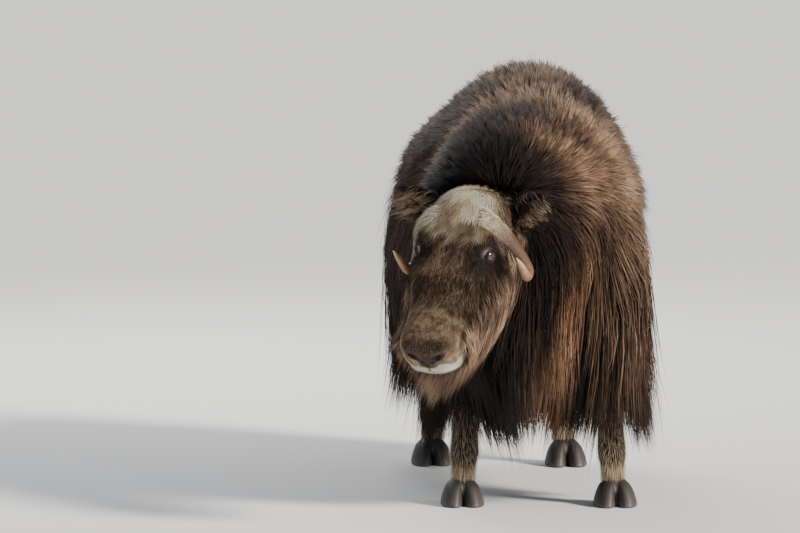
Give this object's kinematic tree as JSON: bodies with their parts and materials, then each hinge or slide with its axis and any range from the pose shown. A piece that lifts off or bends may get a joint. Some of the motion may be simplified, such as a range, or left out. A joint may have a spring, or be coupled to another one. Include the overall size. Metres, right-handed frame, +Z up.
{
  "type": "muskox",
  "caption": "Standing long-haired muskox with its head low and turned to its right, in a thick winter coat that hangs towards the floor.",
  "frame": {"origin": "on the floor, under the middle of the model's bounding box", "axes": "+Z up; the animal faces -Y, its left side is +X, and its length runs along Y"},
  "size_m": [0.7826, 2.0184, 1.1707],
  "materials": {
    "coat": "long coarse dark brown hair",
    "stocking": "short pale hair of the lower legs",
    "hoof": "dull dark horn",
    "horn": "smooth brown horn with a pale tip",
    "eye": "wet, near black"
  },
  "bodies": {
    "root": {"torso": "coat", "neck": "coat", "head": "coat", "tail": "coat", "ear_left": "coat", "ear_right": "coat", "leg_fore_left": "stocking", "leg_fore_right": "stocking", "leg_hind_left": "stocking", "leg_hind_right": "stocking", "hoof_fore_left": "hoof", "hoof_fore_right": "hoof", "hoof_hind_left": "hoof", "hoof_hind_right": "hoof", "horn_left": "horn", "horn_right": "horn", "eye_left": "eye", "eye_right": "eye"}
  },
  "joints": []
}
